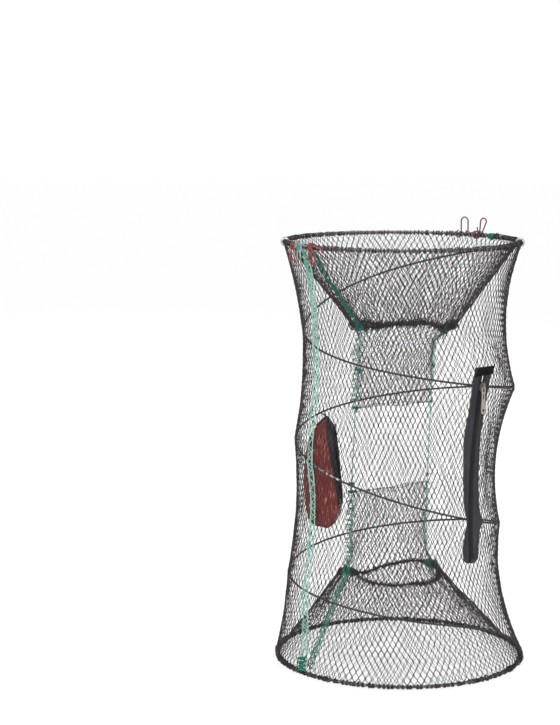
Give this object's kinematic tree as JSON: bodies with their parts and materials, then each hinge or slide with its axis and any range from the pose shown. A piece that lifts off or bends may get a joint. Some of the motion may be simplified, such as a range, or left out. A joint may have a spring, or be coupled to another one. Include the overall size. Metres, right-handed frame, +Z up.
{
  "type": "fish trap",
  "caption": "Upright collapsible fish trap: two wire rings and a coil spring in dark netting, with netting funnels, a zip, a bait pocket and latch hooks.",
  "frame": {"origin": "middle of the ground face under the bottom ring", "axes": "+Z up along the trap's axis; +X to the right and -Y towards the viewer of the picture; the zip lies at 312 degrees anticlockwise from +X, the side seam at 215 degrees"},
  "size_m": [0.324, 0.3246, 0.5616],
  "materials": {
    "galvanised_wire": "dull zinc-plated spring wire",
    "black_twine": "matt braided twine",
    "green_cord": "matt twisted cord",
    "pale_green_lacing": "matt flat lacing",
    "zip_cloth": "woven zip tape",
    "zip_nylon": "coiled nylon teeth",
    "zip_metal": "plated, lightly worn",
    "red_mesh_cloth": "fine knitted mesh",
    "closure_cloth": "hook-and-loop tape",
    "red_coated_wire": "wire with a red-brown plastic coat",
    "clear_plastic": "clear flexible tube"
  },
  "bodies": {
    "base": {"bottom_ring": "galvanised_wire", "bottom_hem": "black_twine", "spring_coil": "galvanised_wire", "outer_net": "black_twine", "top_funnel_net": "black_twine", "bottom_funnel_net": "black_twine", "top_throat_net": "black_twine", "bottom_throat_net": "black_twine", "top_funnel_lacing": "green_cord", "bottom_funnel_lacing": "green_cord", "top_mouth_cord": "black_twine", "bottom_mouth_cord": "black_twine", "front_tie_cord": "green_cord", "rear_tie_cord": "green_cord", "side_seam_lacing": "pale_green_lacing", "zip_tape_left": "zip_cloth", "zip_tape_right": "zip_cloth", "zip_teeth_left": "zip_nylon", "zip_teeth_right": "zip_nylon", "zip_foot_stop": "zip_nylon", "bait_pocket": "red_mesh_cloth", "pocket_hook_strip": "closure_cloth", "pocket_loop_strip": "closure_cloth"},
    "top_ring": {"top_ring": "galvanised_wire", "top_hem": "black_twine", "left_sleeve": "clear_plastic", "right_sleeve": "clear_plastic", "front_whipping": "green_cord", "rear_whipping": "green_cord"},
    "zip_head": {"zip_top_bar": "zip_cloth"},
    "zip_slider": {"zip_slider": "zip_metal"},
    "zip_pull": {"zip_pull": "zip_metal"},
    "rear_hook_1": {"rear_hook_1": "red_coated_wire"},
    "rear_hook_2": {"rear_hook_2": "red_coated_wire"},
    "front_hook_1": {"front_hook_1": "red_coated_wire"},
    "front_hook_2": {"front_hook_2": "red_coated_wire"}
  },
  "joints": [
    {"name": "collapse", "type": "slide", "parent": "base", "child": "top_ring", "axis": [0, 0, 1], "range_m": [-0.45, 0], "stiffness_N_per_m": 8, "springref_m": 0.5, "deforming": ["spring_coil", "outer_net", "top_funnel_net", "bottom_funnel_net", "top_throat_net", "bottom_throat_net", "top_funnel_lacing", "bottom_funnel_lacing", "top_mouth_cord", "bottom_mouth_cord", "front_tie_cord", "rear_tie_cord", "side_seam_lacing", "zip_tape_left", "zip_tape_right", "zip_teeth_left", "zip_teeth_right", "zip_foot_stop", "bait_pocket", "pocket_hook_strip", "pocket_loop_strip"]},
    {"name": "zip_head_fold", "type": "slide", "parent": "base", "child": "zip_head", "axis": [0, 0, 1], "range_m": [-0.3264, 0]},
    {"name": "zip_run", "type": "hinge", "parent": "zip_head", "child": "zip_slider", "pos_m": [0.60629, -0.67335, 0.21307], "axis": [-0.7431, -0.6691, 0], "range_deg": [-0.5, 15.7]},
    {"name": "pull_swing", "type": "hinge", "parent": "zip_slider", "child": "zip_pull", "pos_m": [0.10064, -0.11178, 0.36808], "axis": [-0.7431, -0.6691, 0], "range_deg": [-13, 150]},
    {"name": "rear_hook_1_turn", "type": "hinge", "parent": "top_ring", "child": "rear_hook_1", "pos_m": [0.07468, 0.12831, 0.5372], "axis": [-0.8192, 0.5736, 0], "range_deg": [-60, 170]},
    {"name": "rear_hook_2_turn", "type": "hinge", "parent": "top_ring", "child": "rear_hook_2", "pos_m": [0.09766, 0.11155, 0.5372], "axis": [-0.7071, 0.7071, 0], "range_deg": [-60, 170]},
    {"name": "front_hook_1_turn", "type": "hinge", "parent": "top_ring", "child": "front_hook_1", "pos_m": [-0.13407, -0.06252, 0.5372], "axis": [-0.4226, 0.9063, 0], "range_deg": [0, 180]},
    {"name": "front_hook_2_turn", "type": "hinge", "parent": "top_ring", "child": "front_hook_2", "pos_m": [-0.111, -0.09821, 0.5372], "axis": [-0.7071, 0.7071, 0], "range_deg": [0, 180]}
  ],
  "couplings": [
    {"joint": "zip_head_fold", "follows": "collapse", "ratio": 0.72413}
  ]
}
